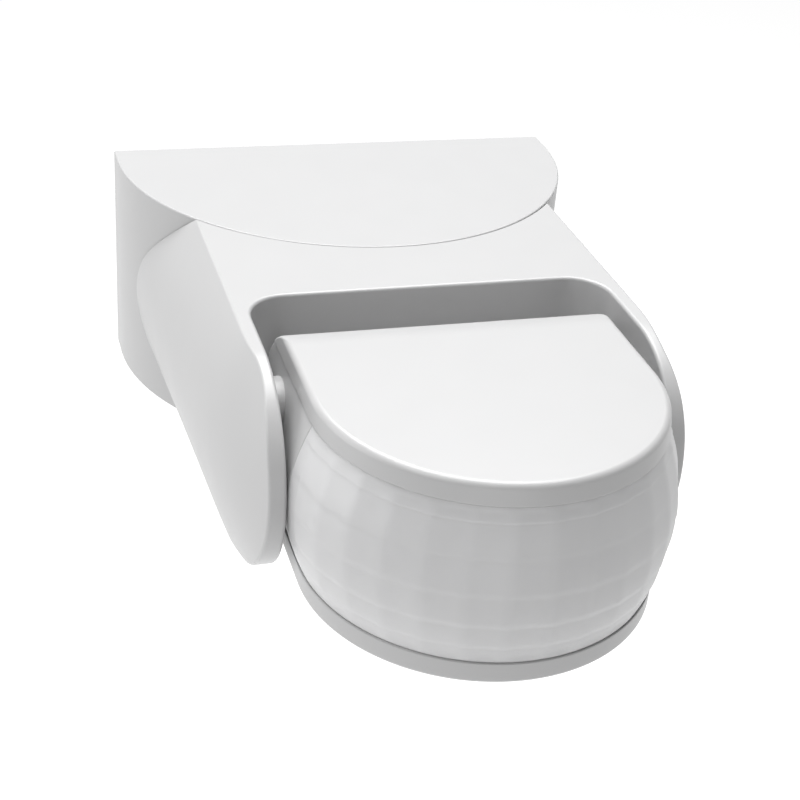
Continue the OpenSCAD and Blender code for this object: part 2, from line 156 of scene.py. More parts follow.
# ---------------------------------------------------------------- geometry helpers


def lerp(a, b, t):
    return a + (b - a) * t


def ease(t):
    t = max(0.0, min(1.0, t))
    return (1 - math.cos(math.pi * t)) / 2


def spread(a, b, count):
    return [lerp(a, b, i / count) for i in range(count + 1)]


def arc_rise(rise, half_chord, offset):
    radius = (half_chord ** 2 + rise ** 2) / (2 * rise)
    return math.sqrt(max(0.0, radius ** 2 - offset ** 2)) - (radius - rise)


def turn_angles(start, stop, count):
    return [math.radians(a) for a in spread(start, stop, count)]


class Shape:
    """A mesh being put together from grids and flat faces, with shared points merged."""

    def __init__(self):
        self.points = []
        self.faces = []
        self.index = {}

    def point(self, p):
        key = (round(p[0], 4), round(p[1], 4), round(p[2], 4))
        if key not in self.index:
            self.index[key] = len(self.points)
            self.points.append((p[0] * MM, -p[1] * MM, p[2] * MM))
        return self.index[key]

    def face(self, points):
        ids = []
        for p in points:
            i = self.point(p)
            if i not in ids:
                ids.append(i)
        if len(ids) > 2:
            self.faces.append(ids)

    def grid(self, rows, closed=False):
        for low, high in zip(rows, rows[1:]):
            count = len(low)
            for k in range(count if closed else count - 1):
                n = (k + 1) % count
                self.face([low[k], low[n], high[n], high[k]])

    def mesh(self, name):
        mesh = bpy.data.meshes.new(name)
        mesh.from_pydata(self.points, [], self.faces)
        bm = bmesh.new()
        bm.from_mesh(mesh)
        bmesh.ops.recalc_face_normals(bm, faces=bm.faces)
        bm.to_mesh(mesh)
        bm.free()
        mesh.update()
        return mesh


def to_object(shape, name):
    obj = bpy.data.objects.new(name, shape.mesh(name))
    bpy.context.scene.collection.objects.link(obj)
    return obj


def modify(obj, kind, **settings):
    modifier = obj.modifiers.new(kind.lower(), kind)
    for key, value in settings.items():
        setattr(modifier, key, value)
    return modifier


def applied(obj):
    graph = bpy.context.evaluated_depsgraph_get()
    mesh = bpy.data.meshes.new_from_object(obj.evaluated_get(graph))
    obj.modifiers.clear()
    obj.data = mesh
    return obj


def cut(obj, *cutters):
    for cutter in cutters:
        modify(obj, "BOOLEAN", operation="DIFFERENCE", solver="EXACT", object=cutter)
        applied(obj)
        bpy.data.objects.remove(cutter)
    return obj


def joined(obj, *others):
    for other in others:
        modify(obj, "BOOLEAN", operation="UNION", solver="EXACT", object=other)
        applied(obj)
        bpy.data.objects.remove(other)
    return obj


def smooth(obj, angle=32):
    mesh = obj.data
    mesh.polygons.foreach_set("use_smooth", [True] * len(mesh.polygons))
    mesh.set_sharp_from_angle(angle=math.radians(angle))
    modify(obj, "WEIGHTED_NORMAL", keep_sharp=True, weight=80)
    return obj


def finish_piece(obj, body, material, nodes):
    smooth(obj)
    obj.data.materials.clear()
    obj.data.materials.append(material)
    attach(obj, body)
    if nodes:
        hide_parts(*nodes)
    return obj


def round_levels(low, high, low_fillet, high_fillet, steps, middle):
    """Height and inset of each level of an upright solid with rounded bottom and top edges."""
    levels = []
    for a in turn_angles(0, 90, steps):
        inset = low_fillet * (1 - math.sin(a))
        levels.append((low + low_fillet * (1 - math.cos(a)), inset))
    for z in spread(low + low_fillet, high - high_fillet, middle)[1:-1]:
        levels.append((z, 0.0))
    for a in turn_angles(0, 90, steps):
        inset = high_fillet * (1 - math.cos(a))
        levels.append((high - high_fillet * (1 - math.sin(a)), inset))
    return levels


def stacked(loop, levels):
    """Closed solid: the loop at each level, with flat faces over the first and last."""
    shape = Shape()
    rows = [loop(z, inset) for z, inset in levels]
    shape.grid(rows, closed=True)
    shape.face(rows[0])
    shape.face(rows[-1])
    return shape


def disc_loop(x, d, radius, count=48):
    def loop(z, inset):
        r = radius - inset
        return [
            (x + r * math.cos(a), d + r * math.sin(a), z)
            for a in turn_angles(0, 360 - 360 / count, count - 1)
        ]

    return loop


def rod(name, x, d, radius, low, high):
    """Upright cylinder."""
    levels = [(low, 0.0), (high, 0.0)]
    return to_object(stacked(disc_loop(x, d, radius), levels), name)


def turned(name, sections, centre, count=64):
    """Solid of revolution from (x, radius) pairs, about the line along x through centre."""
    shape = Shape()
    rows = []
    for x, radius in sections:
        row = []
        for a in turn_angles(0, 360 - 360 / count, count - 1):
            row.append((x, centre[0] + radius * math.cos(a), centre[1] + radius * math.sin(a)))
        rows.append(row)
    shape.grid(rows, closed=True)
    shape.face(rows[0])
    shape.face(rows[-1])
    return to_object(shape, name)


# ---------------------------------------------------------------- arm


def arm_half(d, z):
    edge = ARM_HW - 1.2 * ease((d - 70) / 14)
    middle = ARM_HW + ARM_BULGE - 0.064 * max(0, d - 20) - 0.0037 * max(0, d - 63) ** 2
    return edge + arc_rise(middle - edge, TOP, z)


def back_distance(x):
    return BASE_SIDE + math.sqrt(ARM_BACK_R ** 2 - x ** 2)


def side_start(z):
    """Distance from the wall at which the arm's side meets its concave back."""
    d = 20.0
    for _ in range(30):
        d = lerp(d, back_distance(arm_half(d, z)), 0.6)
    return d


def slope_end():
    """Turn round the nose, from its top, at which the sloping underside leaves it."""
    reach = (NOSE_Y - SLOPE_Y, -TOP - NOSE_Z)
    turn = math.atan2(reach[1], reach[0]) - math.acos(NOSE_R / math.hypot(*reach))
    return math.atan2(-math.cos(turn), math.sin(turn))


SLOPE_TURN = slope_end()
SLOPE_POINT = (NOSE_Y + NOSE_R * math.sin(SLOPE_TURN), NOSE_Z + NOSE_R * math.cos(SLOPE_TURN))
SLOPE_RATE = (SLOPE_POINT[1] + TOP) / (SLOPE_POINT[0] - SLOPE_Y)


def slope_z(d):
    return -TOP + SLOPE_RATE * max(0.0, d - SLOPE_Y)


def side_fillet(start, inward, radius, steps=5):
    """Depth where the arm's side stops, and the (x, depth) points of the edge's round."""
    def half(depth):
        return arm_half(start[0] + inward[0] * depth, start[1] + inward[1] * depth)

    depth = radius * 0.6
    tilt = 0.0
    for _ in range(6):
        tilt = math.atan((half(depth + 0.05) - half(depth - 0.05)) / 0.1)
        depth = radius * (1 - math.sin(tilt))
    middle = half(depth) - radius * math.cos(tilt)
    points = []
    for i in range(steps + 1):
        a = lerp(tilt, math.pi / 2, i / steps)
        points.append((middle + radius * math.cos(a), radius * (1 - math.sin(a))))
    return points


def patch(top, bottom, back, front):
    """Coons patch of (d, z) points; top and bottom run from back to front."""
    rows = []
    for k in range(len(back)):
        v = k / (len(back) - 1)
        row = []
        for j in range(len(top)):
            u = j / (len(top) - 1)
            p = []
            for c in (0, 1):
                edges = lerp(top[j][c], bottom[j][c], v) + lerp(back[k][c], front[k][c], u)
                corners = lerp(
                    lerp(top[0][c], top[-1][c], u), lerp(bottom[0][c], bottom[-1][c], u), v
                )
                p.append(edges - corners)
            row.append(tuple(p))
        rows.append(row)
    return rows


ARM_EDGE = 0.5
NOTCH_EDGE = 0.55
NOSE_STEPS = 44
EDGE_STEPS = 5
TOP_STEPS = 18
FLAT_STEPS = 11
BACK_STEPS = 48
INNER_STEPS = 8


def nose_inward(turn):
    return (-math.sin(turn), -math.cos(turn))


def nose_point(turn, depth=0.0):
    r = NOSE_R - depth
    return (NOSE_Y + r * math.sin(turn), NOSE_Z + r * math.cos(turn))


def edge_section(start, inward):
    return [
        (x, start[0] + inward[0] * depth, start[1] + inward[1] * depth)
        for x, depth in side_fillet(start, inward, ARM_EDGE, EDGE_STEPS)
    ]


def arm_outer_rows():
    """The round of the arm's outer edge over the top, the nose and the underside."""
    corner = side_start(TOP)
    top_ds = spread(corner, NOSE_Y, TOP_STEPS)
    low_ds = spread(corner, SLOPE_Y, FLAT_STEPS)
    low_ds += spread(SLOPE_Y, SLOPE_POINT[0], TOP_STEPS - FLAT_STEPS)[1:]
    slope_in = nose_inward(SLOPE_TURN)
    top = [edge_section((d, TOP), (0, -1)) for d in top_ds]
    low = []
    for d in low_ds:
        inward = (0, 1) if d <= SLOPE_Y else slope_in
        low.append(edge_section((d, slope_z(d)), inward))
    turns = spread(0.0, SLOPE_TURN, NOSE_STEPS)
    nose = [edge_section(nose_point(t), nose_inward(t)) for t in turns]
    for rows in (top, low):
        rows[0] = [(x, back_distance(x), z) for x, d, z in rows[0]]
    low[-1] = nose[-1]
    top[-1] = nose[0]
    return top, nose, low


def notch_path(offset, z_of):
    """Plan line of the notch wall on the +x side, from the nose centre line to the middle."""
    x = NOTCH_HW + offset
    centre = (NOTCH_HW - NOTCH_CORNER, NOTCH_Y + NOTCH_CORNER)
    radius = NOTCH_CORNER + offset
    points = [(x, d) for d in spread(NOSE_Y, centre[1], INNER_STEPS)[:-1]]
    for a in turn_angles(0, 90, 9):
        points.append((centre[0] + radius * math.cos(a), centre[1] - radius * math.sin(a)))
    for px in spread(centre[0], 0.0, 12)[1:]:
        points.append((px, NOTCH_Y - offset))
    return [(px, d, z_of(d)) for px, d in points]


def outline(rows, k):
    """The (d, z) places of point k of every row."""
    return [(row[k][1], row[k][2]) for row in rows]


def dome_rows(top, nose, low):
    """The arm's domed side on the +x side, between the rounds of its edge."""
    edge_top = outline(top, 0)
    edge_low = outline(low, 0)
    front = outline(nose, 0)
    back = []
    for k in range(NOSE_STEPS + 1):
        z = lerp(edge_top[0][1], edge_low[0][1], k / NOSE_STEPS)
        back.append((side_start(z), z))
    back[0], back[-1] = edge_top[0], edge_low[0]
    grid = patch(edge_top, edge_low, back, front)
    rows = [[(arm_half(d, z), d, z) for d, z in row] for row in grid]
    rows[0] = [row[0] for row in top]
    rows[-1] = [row[0] for row in low]
    for k, row in enumerate(rows):
        row[-1] = nose[k][0]
        if 0 < k < NOSE_STEPS:
            row[0] = (arm_half(*back[k]), *back[k])
    return rows


def notch_edges():
    """Lines along the rounds of the notch's edges: above, below and round the nose."""
    edges = []
    for a in turn_angles(0, 90, EDGE_STEPS):
        offset = NOTCH_EDGE * (1 - math.cos(a))
        depth = NOTCH_EDGE * (1 - math.sin(a))
        slope_depth = depth * math.hypot(1, SLOPE_RATE)
        over = notch_path(offset, lambda d: TOP - depth)
        under = notch_path(offset, lambda d: slope_z(d) + slope_depth)
        turns = spread(0.0, SLOPE_TURN, NOSE_STEPS)
        tip = [(NOTCH_HW + offset, *nose_point(t, depth)) for t in turns]
        x, end_d, end_z = tip[-1]
        for i in range(INNER_STEPS):
            d = end_d - (end_d - under[INNER_STEPS][1]) * i / INNER_STEPS
            under[i] = (x, d, end_z - SLOPE_RATE * (end_d - d))
        under[0] = tip[-1]
        edges.append((over, under, tip))
    return edges


def prong_rows(over, under, tip):
    """The flat inner face of the prong on the +x side."""
    top = over[: INNER_STEPS + 1][::-1]
    low = under[: INNER_STEPS + 1][::-1]
    back = [
        (top[0][1], lerp(top[0][2], low[0][2], k / NOSE_STEPS))
        for k in range(NOSE_STEPS + 1)
    ]
    grid = patch(
        [p[1:] for p in top], [p[1:] for p in low], back, [p[1:] for p in tip]
    )
    rows = [[(NOTCH_HW, d, z) for d, z in row] for row in grid]
    rows[0] = top
    rows[-1] = low
    for k, row in enumerate(rows):
        row[-1] = tip[k]
    return rows


def notch_rows(over, under, inner):
    """The notch wall from the prong's inner face round the corner to the middle."""
    top = over[INNER_STEPS:]
    low = under[INNER_STEPS:]
    rows = []
    for k in range(NOSE_STEPS + 1):
        share = k / NOSE_STEPS
        rows.append([(a[0], a[1], lerp(a[2], b[2], share)) for a, b in zip(top, low)])
    rows[0] = top
    rows[-1] = low
    for k, row in enumerate(rows):
        row[0] = inner[k][0]
    return rows


def flip(points):
    """The same line on the -x side, run the other way."""
    return [(-x, d, z) for x, d, z in reversed(points)]


def both(points):
    """Points from the +x side to the middle, then on to the -x side."""
    return points + flip([p for p in points if p[0] > 1e-6])


def arm_flats(shape, top, low, over, under, arc):
    """The flat top, the flat part of the underside and the slope in front of it."""
    outer = [row[-1] for row in top]
    shape.face(outer + both(over) + flip(outer) + arc[::-1])
    outer = [row[-1] for row in low]
    flat = outer[: FLAT_STEPS + 1]
    low_arc = [(x, d, -TOP) for x, d, z in arc]
    shape.face(flat + flip(flat) + low_arc[::-1])
    slope = outer[FLAT_STEPS:]
    shape.face(slope + both(under) + flip(slope))


def arm_back(shape, top, low, side_back, arc):
    """The concave back round the base, with the strips that join it to the flats."""
    turns = [math.cos(math.pi * i / BACK_STEPS) for i in range(BACK_STEPS + 1)]
    rows = []
    for end in side_back:
        row = [(end[0] * t, back_distance(end[0] * t), end[2]) for t in turns]
        row[0] = end
        row[-1] = (-end[0], end[1], end[2])
        rows.append(row)
    shape.grid(rows)
    for side in (1, -1):
        shape.face([(side * x, d, z) for x, d, z in top[0]])
        shape.face([(side * x, d, z) for x, d, z in low[0]])
    low_arc = [(x, d, -TOP) for x, d, z in arc]
    for row, corner, line in ((rows[0], top[0][-1], arc), (rows[-1], low[0][-1], low_arc)):
        far_corner = (-corner[0], corner[1], corner[2])
        shape.grid([row, [corner] + line + [far_corner]])


def arm_shape():
    shape = Shape()
    top, nose, low = arm_outer_rows()
    dome = dome_rows(top, nose, low)
    edges = notch_edges()
    inner = prong_rows(*edges[0])
    wall = notch_rows(edges[0][0], edges[0][1], inner)
    strip = [[a[-1], b] for a, b in zip(nose, edges[-1][2])]
    rounds = [[edge[k] for edge in edges] for k in range(3)]
    for side in (1, -1):
        for rows in (top, nose, low, dome, *rounds, inner, wall, strip):
            shape.grid([[(side * x, d, z) for x, d, z in row] for row in rows])
    end = top[0][-1][0]
    arc = [end * math.cos(math.pi * i / BACK_STEPS) for i in range(1, BACK_STEPS)]
    arc = [(x, back_distance(x), TOP) for x in arc]
    over, under, _ = edges[-1]
    arm_flats(shape, top, low, over, under, arc)
    arm_back(shape, top, low, [row[0] for row in dome], arc)
    return shape


def plan_prism(name, outline, low, high):
    shape = Shape()
    shape.grid([[(x, d, z) for x, d in outline] for z in (low, high)], closed=True)
    shape.face([(x, d, low) for x, d in outline])
    shape.face([(x, d, high) for x, d in outline])
    return to_object(shape, name)


def ring_piece(name, inner, outer, half_angle, low, high, steps=32):
    """Slice of a ring round the pan axis, facing away from the wall."""
    arcs = []
    for radius, ends in ((inner, (-half_angle, half_angle)), (outer, (half_angle, -half_angle))):
        for a in turn_angles(*ends, steps):
            arcs.append((radius * math.sin(a), BASE_SIDE + radius * math.cos(a)))
    return plan_prism(name, arcs, low, high)


def cover_outline(radius, half, front, steps=24):
    """Plan of the arm's underside cover: straight front, curved back round the base."""
    reach = math.degrees(math.asin(half / radius))
    points = [(half, front), (-half, front)]
    for a in turn_angles(-reach, reach, steps):
        points.append((radius * math.sin(a), BASE_SIDE + radius * math.cos(a)))
    return points


def make_arm(material):
    arm = to_object(arm_shape(), "Arm_Body")
    outline_points = cover_outline(ARM_BACK_R + ARM_WALL, COVER_HALF, NOTCH_Y - ARM_WALL)
    cut(arm, plan_prism("cavity", outline_points, -TOP - 1, TOP - ARM_ROOF))
    x, d = COVER_SCREW
    for side in (-1, 1):
        joined(arm, rod("post", side * x, d, COVER_POST_R, -TOP + COVER_SEAT, TOP - 2))
    inside = BASE_R - BASE_WALL - GAP
    joined(arm, ring_piece("stem", inside, ARM_BACK_R + 0.6, STEM_HALF, -STEM_Z, STEM_Z))
    return finish_piece(arm, "arm", material, ["yoke_shell"])


# ---------------------------------------------------------------- base


def base_path(radius):
    """Plan of the base from the wall at the left round the front to the wall at the right."""
    points = [(-radius, d) for d in spread(0.0, BASE_SIDE, 4)]
    for a in turn_angles(-90, 90, 96)[1:-1]:
        points.append((radius * math.sin(a), BASE_SIDE + radius * math.cos(a)))
    points += [(radius, d) for d in spread(BASE_SIDE, 0.0, 4)]
    return points


def base_shape():
    """Shell open to the wall: the outside, the inside and the rim between them."""
    shape = Shape()
    levels = round_levels(-TOP, TOP, BASE_EDGE, BASE_EDGE, 4, 12)
    outer = [[(x, d, z) for x, d in base_path(BASE_R - inset)] for z, inset in levels]
    inside = base_path(BASE_R - BASE_WALL)
    inner_z = TOP - BASE_WALL
    inner = [[(x, d, z) for x, d in inside] for z in spread(-inner_z, inner_z, 12)]
    shape.grid(outer)
    shape.grid(inner)
    for rows, z in ((outer, TOP), (inner, inner_z)):
        shape.face(rows[0] + [(0.0, 0.0, -z)])
        shape.face(rows[-1] + [(0.0, 0.0, z)])
    for end in (0, -1):
        ring_out = [row[end] for row in outer]
        ring_in = [row[end] for row in inner]
        shape.face(
            [(0.0, 0.0, -TOP)] + ring_out + [(0.0, 0.0, TOP), (0.0, 0.0, inner_z)]
            + ring_in[::-1] + [(0.0, 0.0, -inner_z)]
        )
    return shape


def make_base(material):
    base = to_object(base_shape(), "Base_Body")
    cut(base, ring_piece("slot", BASE_R - 6, BASE_R + 5, SLOT_HALF, -SLOT_Z, SLOT_Z))
    x, d = SHELL_SCREW
    for side in (-1, 1):
        cut(base, rod("bore", side * x, d, SHELL_BORE, -TOP - 1, -TOP + 4))
        cut(base, rod("sink", side * x, d, SHELL_HEAD_BORE, -TOP - 1, -TOP + SCREW_SINK))
    return finish_piece(base, "base", material, ["base_shell"])


# ---------------------------------------------------------------- head


def side_tangent():
    reach = (-(FOOT_REAR - PIVOT_Y), FOOT_BOTTOM - PIVOT_Z)
    turn = math.atan2(reach[1], reach[0]) + math.acos(REAR_R / math.hypot(*reach))
    return (PIVOT_Y - REAR_R * math.cos(turn), PIVOT_Z + REAR_R * math.sin(turn))


REAR_TANGENT = side_tangent()


def rear_distance(z):
    """Distance from the wall to the back of the head at height z."""
    if z > REAR_TANGENT[1]:
        return PIVOT_Y - math.sqrt(max(0.0, REAR_R ** 2 - (z - PIVOT_Z) ** 2))
    share = (z - REAR_TANGENT[1]) / (FOOT_BOTTOM - REAR_TANGENT[1])
    return lerp(REAR_TANGENT[0], FOOT_REAR, share)


def head_loop(z, inset, half_width, centre):
    """Outline of the cap or the foot at height z, from the front middle round and back."""
    r = half_width - inset
    rear = rear_distance(z) + inset * 0.15
    corner = HEAD_CORNER
    half = []
    for a in turn_angles(0, 90, 36):
        half.append((r * math.sin(a), centre + r * math.cos(a), z))
    for d in spread(centre, rear + corner, 5)[1:]:
        half.append((r, d, z))
    for a in turn_angles(0, 90, 4)[1:]:
        half.append((r - corner + corner * math.cos(a), rear + corner - corner * math.sin(a), z))
    for x in spread(r - corner, 0.0, 8)[1:]:
        half.append((x, rear, z))
    return half + [(-x, d, zz) for x, d, zz in reversed(half[1:-1])]


def cap_loop(z, inset):
    return head_loop(z, inset, CAP_HW, CAP_Y)


def foot_loop(z, inset):
    return head_loop(z, inset, FOOT_HW, HEAD_Y)


def make_cap(material):
    levels = []
    for z, inset in round_levels(CAP_Z, TOP, CAP_LOW_EDGE, CAP_TOP_EDGE, 8, 3):
        draft = CAP_DRAFT * (z - CAP_Z) / (TOP - CAP_Z)
        levels.append((z, inset + draft))
    cap = to_object(stacked(cap_loop, levels), "Head_Cap")
    return finish_piece(cap, "head", material, ["head_cap"])


def make_foot(material):
    levels = round_levels(FOOT_BOTTOM, FOOT_Z, FOOT_LOW_EDGE, FOOT_TOP_EDGE, 5, 3)
    foot = to_object(stacked(foot_loop, levels), "Head_Foot")
    for x in KNOB_XS:
        cut(foot, rod("well", x, KNOB_Y, KNOB_R + GAP, FOOT_BOTTOM - 1, FOOT_Z + 1))
    x, d = FOOT_SCREW
    sink = FOOT_BOTTOM + SCREW_SINK
    for side in (-1, 1):
        cut(foot, rod("bore", side * x, d, FOOT_BORE, FOOT_BOTTOM - 1, FOOT_Z + 1))
        cut(foot, rod("sink", side * x, d, FOOT_HEAD_BORE, FOOT_BOTTOM - 1, sink))
    return finish_piece(foot, "head", material, ["head_foot"])


def head_half(d, z):
    """Half width of the housing, which grows from the back into the lens's bulge."""
    share = ease((d - BULGE_FROM) / BULGE_OVER)
    bulge = lerp(REAR_BULGE, LENS_BULGE, share)
    rise = arc_rise(bulge, HALF_Z, z - MID_Z)
    return lens_rim(z) + rise * (1 + LENS_WIDER * share)


def lens_rim(z):
    """Radius of the lens without its bulge: a little more at the foot than at the cap."""
    return lerp(LENS_RIM + 0.45, LENS_RIM - 0.1, (z - FOOT_Z) / (CAP_Z - FOOT_Z))


def housing_line(z, inset):
    """Outline of the housing from the seam round the back, on the +x side only."""
    rear = rear_distance(z) + inset
    corner = HEAD_CORNER - min(inset, 0.5)
    start = rear + corner
    points = []
    for d in spread(SEAM_Y, start, 16):
        points.append((head_half(d, z) - inset, d, z))
    x = head_half(start, z) - inset - corner
    for a in turn_angles(0, 90, 4)[1:]:
        points.append((x + corner * math.cos(a), start - corner * math.sin(a), z))
    for px in spread(x, 0.0, 6)[1:]:
        points.append((px, rear, z))
    return points


def housing_shape():
    """Shell of the housing, open to the front, with a small chamfer along the seam."""
    shape = Shape()
    zs = spread(FOOT_Z, CAP_Z, 22)
    for side in (1, -1):
        outer = []
        inner = []
        for z in zs:
            line = housing_line(z, 0.0)
            x, d, _ = line[0]
            line[0] = (x, d - SEAM_EDGE, z)
            outer.append([(side * x, d, z) for x, d, z in [(x - SEAM_EDGE, d, z)] + line])
            inner.append([(side * x, d, z) for x, d, z in housing_line(z, HOUSING_WALL)])
        shape.grid(outer)
        shape.grid(inner)
        shape.grid([[a[0], b[0]] for a, b in zip(outer, inner)])
        for k in (0, -1):
            shape.grid([[a, b] for a, b in zip(outer[k][1:], inner[k])])
            shape.face([outer[k][0], outer[k][1], inner[k][0]])
    return shape


def make_housing(material):
    housing = to_object(housing_shape(), "Head_Housing")
    for side in (-1, 1):
        sections = [(side * BOSS_ROOT, BOSS_R)]
        for a in turn_angles(0, 90, 4):
            sections.append((
                side * (BOSS_X - BOSS_EDGE + BOSS_EDGE * math.sin(a)),
                BOSS_R - BOSS_EDGE + BOSS_EDGE * math.cos(a),
            ))
        joined(housing, turned("boss", sections, (PIVOT_Y, PIVOT_Z)))
    bore = turned("bore", [(-40, PIVOT_BORE), (40, PIVOT_BORE)], (PIVOT_Y, PIVOT_Z))
    cut(housing, bore)
    return finish_piece(housing, "head", material, ["head_housing"])


# Cells of the lens: degrees to a column, heights of the row boundaries, depths
LENS_STEP = 11.8
LENS_SHIFT = 1.5
LENS_ROWS = (-4.9, -1.2, 3.6, 8.9, 13.7)
LENS_REACH = 88.5
LENS_FADE_AT = 88.0
CELL_ACROSS = 0.17
CELL_UP = 0.1
CELL_STEP = 0.2


def lens_radius(z):
    return lens_rim(z) + arc_rise(LENS_BULGE, HALF_Z, z - MID_Z)


def lens_point(angle, z, drop):
    """Point of the lens's outside, drop below its barrel, which is a little wider than deep."""
    wider = LENS_WIDER * arc_rise(LENS_BULGE, HALF_Z, z - MID_Z)
    r = lens_radius(z) - drop
    t = math.radians(angle)
    return ((r + wider) * math.sin(t), lens_centre(z) + r * math.cos(t), z)


def lens_centre(z):
    """The lens leans back a little, from over the foot to under the cap."""
    return lerp(HEAD_Y, CAP_Y, (z - FOOT_Z) / (CAP_Z - FOOT_Z))


def facet_drop(angle, z):
    """How far the outer surface lies inside the barrel, from its slightly flat cells."""
    cell = (angle - LENS_SHIFT) / LENS_STEP
    across = 2 * (cell - math.floor(cell)) - 1
    bounds = (FOOT_Z,) + LENS_ROWS + (CAP_Z,)
    up = 1.0
    for low, high in zip(bounds, bounds[1:]):
        if low - 1e-6 <= z < high:
            up = (z - low) / (high - low)
            break
    fade = ease((LENS_FADE_AT - abs(angle)) / 6)
    fade *= ease((z - FOOT_Z) / 1.2) * ease((CAP_Z - z) / 1.2)
    return fade * (CELL_ACROSS * (1 - across ** 2) + CELL_UP * up ** 2)


def lens_angles():
    """Angles of the lens's columns of points: six steps to a cell."""
    marks = [-LENS_REACH]
    k = math.ceil((-LENS_REACH - LENS_SHIFT) / LENS_STEP)
    while LENS_SHIFT + k * LENS_STEP < LENS_REACH:
        marks.append(LENS_SHIFT + k * LENS_STEP)
        k += 1
    marks.append(LENS_REACH)
    angles = []
    for a, b in zip(marks, marks[1:]):
        angles += spread(a, b, 6)[:-1]
    return angles + [LENS_REACH]


def lens_levels():
    """Heights of the lens's rows of points, each cell ending in a small step."""
    bounds = (FOOT_Z + 0.05,) + LENS_ROWS + (CAP_Z - 0.05,)
    levels = []
    for low, high in zip(bounds, bounds[1:]):
        levels += spread(low, high - CELL_STEP, 7)
    return levels + [bounds[-1]]


def make_lens(material):
    """Lens wall of cells: columns along the front, rows with a small step between them."""
    shape = Shape()
    angles = lens_angles()
    outer = []
    inner = []
    for z in lens_levels():
        outer.append([lens_point(a, z, facet_drop(a, z)) for a in angles])
        inner.append([lens_point(a, z, LENS_WALL) for a in angles])
    shape.grid(outer)
    shape.grid(inner)
    for k in (0, -1):
        shape.grid([outer[k], inner[k]])
        shape.grid([[a[k], b[k]] for a, b in zip(outer, inner)])
    lens = to_object(shape, "Lens")
    return finish_piece(lens, "head", material, ["lens"])


# ---------------------------------------------------------------- materials


def node_material(name):
    material = bpy.data.materials.new(name)
    material.use_nodes = True
    tree = material.node_tree
    shader = tree.nodes["Principled BSDF"]
    return material, tree, shader


def link(tree, a, b):
    tree.links.new(a, b)


def noise(tree, scale, detail=2.0, roughness=0.5):
    coords = tree.nodes.new("ShaderNodeTexCoord")
    node = tree.nodes.new("ShaderNodeTexNoise")
    node.inputs["Scale"].default_value = scale
    node.inputs["Detail"].default_value = detail
    node.inputs["Roughness"].default_value = roughness
    link(tree, coords.outputs["Object"], node.inputs["Vector"])
    return node


def ramp(tree, source, low, high, at=(0.35, 0.65)):
    node = tree.nodes.new("ShaderNodeValToRGB")
    node.color_ramp.elements[0].position = at[0]
    node.color_ramp.elements[1].position = at[1]
    node.color_ramp.elements[0].color = (*low, 1)
    node.color_ramp.elements[1].color = (*high, 1)
    link(tree, source, node.inputs["Fac"])
    return node


def plastic(name, colour, roughness, grain=2600.0, bump=0.06, metallic=0.0, spread_by=0.02):
    """Moulded plastic or metal: faint tone variation, roughness variation, fine grain."""
    material, tree, shader = node_material(name)
    tone = noise(tree, 60.0, 3.0)
    low = tuple(c * (1 - spread_by) for c in colour)
    colours = ramp(tree, tone.outputs["Fac"], low, colour)
    link(tree, colours.outputs["Color"], shader.inputs["Base Color"])
    gloss = noise(tree, 180.0, 2.0)
    rough_low = (roughness - 0.01,) * 3
    rough_high = (roughness + 0.01,) * 3
    glosses = ramp(tree, gloss.outputs["Fac"], rough_low, rough_high)
    link(tree, glosses.outputs["Color"], shader.inputs["Roughness"])
    grain_noise = noise(tree, grain, 2.0)
    bumps = tree.nodes.new("ShaderNodeBump")
    bumps.inputs["Strength"].default_value = bump
    bumps.inputs["Distance"].default_value = 0.00002
    link(tree, grain_noise.outputs["Fac"], bumps.inputs["Height"])
    link(tree, bumps.outputs["Normal"], shader.inputs["Normal"])
    shader.inputs["Metallic"].default_value = metallic
    shader.inputs["IOR"].default_value = 1.5
    return material


def lens_material():
    material = plastic("Lens_Milky", (0.56, 0.56, 0.565), 0.38, grain=3800.0, bump=0.2)
    shader = material.node_tree.nodes["Principled BSDF"]
    shader.inputs["Subsurface Weight"].default_value = 0.35
    shader.inputs["Subsurface Radius"].default_value = (1.0, 1.0, 1.0)
    shader.inputs["Subsurface Scale"].default_value = 0.0015
    return material


MATERIALS = {
    "white_plastic": plastic(
        "White_Plastic", (0.45, 0.45, 0.452), 0.34, bump=0.015, spread_by=0.004
    ),
    "grey_plastic": plastic("Grey_Plastic", (0.55, 0.55, 0.56), 0.45),
    "rubber": plastic("Rubber", (0.05, 0.05, 0.052), 0.7, grain=1500.0, bump=0.3),
    "steel": plastic("Steel", (0.62, 0.62, 0.63), 0.3, metallic=1.0),
    "brass": plastic("Brass", (0.75, 0.55, 0.24), 0.3, metallic=1.0),
    "circuit_board": plastic("Circuit_Board", (0.03, 0.2, 0.08), 0.4, spread_by=0.3),
    "blue_plastic": plastic("Blue_Plastic", (0.03, 0.12, 0.5), 0.4),
    "red_plastic": plastic("Red_Plastic", (0.5, 0.05, 0.03), 0.4),
    "aluminium_can": plastic("Aluminium_Can", (0.1, 0.1, 0.25), 0.35),
    "ceramic_fuse": plastic("Ceramic_Fuse", (0.7, 0.6, 0.45), 0.4),
    "wire": plastic("Wire", (0.04, 0.04, 0.045), 0.45),
    "bush_plastic": plastic("Bush_Plastic", (0.7, 0.68, 0.55), 0.4),
    "lens_plastic": lens_material(),
    "dark_glass": plastic("Dark_Glass", (0.02, 0.02, 0.025), 0.08),
    "black_plastic": plastic("Black_Plastic", (0.03, 0.03, 0.03), 0.45),
    "knob_plastic": plastic("Knob_Plastic", (0.6, 0.6, 0.6), 0.4),
}


# ---------------------------------------------------------------- scene


